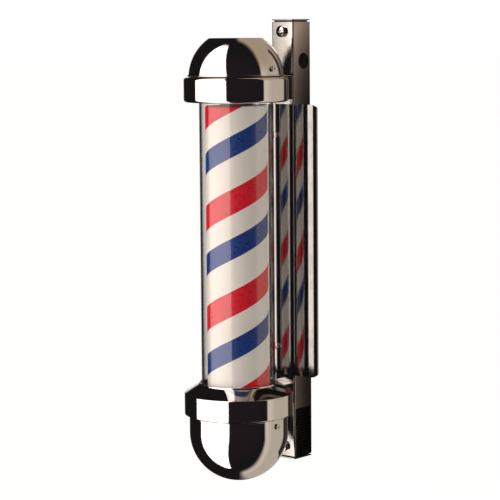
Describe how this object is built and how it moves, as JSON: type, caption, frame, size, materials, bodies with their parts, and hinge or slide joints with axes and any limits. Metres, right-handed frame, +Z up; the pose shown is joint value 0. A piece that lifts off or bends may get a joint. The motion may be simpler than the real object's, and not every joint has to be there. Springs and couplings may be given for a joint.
{
  "type": "barber pole light",
  "caption": "Wall-mounted barber pole light: a motor-driven striped drum turns round a lamp in a glass cylinder, held by chrome rings and domes on a tall square bracket.",
  "frame": {"origin": "centre of the wall rail's back face, on the wall", "axes": "+Z up along the bracket, +Y into the wall, -Y towards the viewer, +X to the viewer's right"},
  "size_m": [0.1492, 0.2127, 0.633],
  "materials": {
    "chrome": "polished chrome plate",
    "polished_sheet": "polished stainless reflector sheet",
    "zinc_steel": "zinc-plated steel",
    "gearbox_zinc": "die-cast gearbox",
    "brass": "plain brass",
    "clear_glass": "clear polished",
    "frosted_glass": "frosted",
    "drum_print": "white film with red and blue spiral stripes",
    "white_plastic": "satin white",
    "nylon": "natural nylon",
    "black_plastic": "black moulded",
    "black_rubber": "matt",
    "porcelain": "glazed",
    "dark_label": "blank dark label"
  },
  "bodies": {
    "frame": {"bracket_cover": "chrome", "bracket_top_cap": "chrome", "bracket_bottom_cap": "chrome", "cover_screw_top": "chrome", "cover_screw_bottom": "chrome", "upper_arm": "chrome", "lower_arm": "chrome", "top_ring": "chrome", "top_dome": "chrome", "top_dome_screw_left": "chrome", "top_dome_screw_right": "chrome", "base_ring": "chrome", "base_dome": "chrome", "base_dome_screw_left": "chrome", "base_dome_screw_right": "chrome", "reflector": "polished_sheet", "wall_rail": "zinc_steel", "reflector_screw_upper": "zinc_steel", "reflector_screw_lower": "zinc_steel", "upper_arm_bolt_left": "zinc_steel", "upper_arm_bolt_right": "zinc_steel", "lower_arm_bolt_left": "zinc_steel", "lower_arm_bolt_right": "zinc_steel", "upper_arm_nut_left": "zinc_steel", "upper_arm_nut_right": "zinc_steel", "lower_arm_nut_left": "zinc_steel", "lower_arm_nut_right": "zinc_steel", "lamp_bridge": "zinc_steel", "bridge_screw_left": "zinc_steel", "bridge_screw_right": "zinc_steel", "chassis_plate": "zinc_steel", "chassis_screw_1": "zinc_steel", "chassis_screw_2": "zinc_steel", "chassis_screw_3": "zinc_steel", "motor_screw_left": "zinc_steel", "motor_screw_right": "zinc_steel", "pivot_post": "zinc_steel", "post_nut": "zinc_steel", "retaining_nut": "zinc_steel", "gearmotor_can": "zinc_steel", "gearmotor_gearbox": "gearbox_zinc", "lamp_cap": "brass", "glass_cylinder": "clear_glass", "lamp_bulb": "frosted_glass", "drum_guide": "nylon", "thrust_washer": "nylon", "terminal_block": "black_plastic", "upper_gasket": "black_rubber", "lower_gasket": "black_rubber", "lamp_cable": "black_rubber", "motor_cable": "black_rubber", "lamp_holder": "porcelain", "rating_label": "dark_label"},
    "drum": {"drum_sleeve": "drum_print", "drum_top_cap": "white_plastic", "drum_base": "black_plastic", "drum_gear": "nylon", "drum_bushing": "brass"},
    "motor_output": {"motor_shaft": "zinc_steel", "pinion": "brass"}
  },
  "joints": [
    {"name": "drum_spin", "type": "hinge", "parent": "frame", "child": "drum", "pos_m": [0, -0.1381, 0], "axis": [0, 0, 1], "continuous": true},
    {"name": "pinion_spin", "type": "hinge", "parent": "frame", "child": "motor_output", "pos_m": [0, -0.1756, -0.2088], "axis": [0, 0, 1], "continuous": true}
  ],
  "couplings": [
    {"joint": "pinion_spin", "follows": "drum_spin", "ratio": -4}
  ]
}
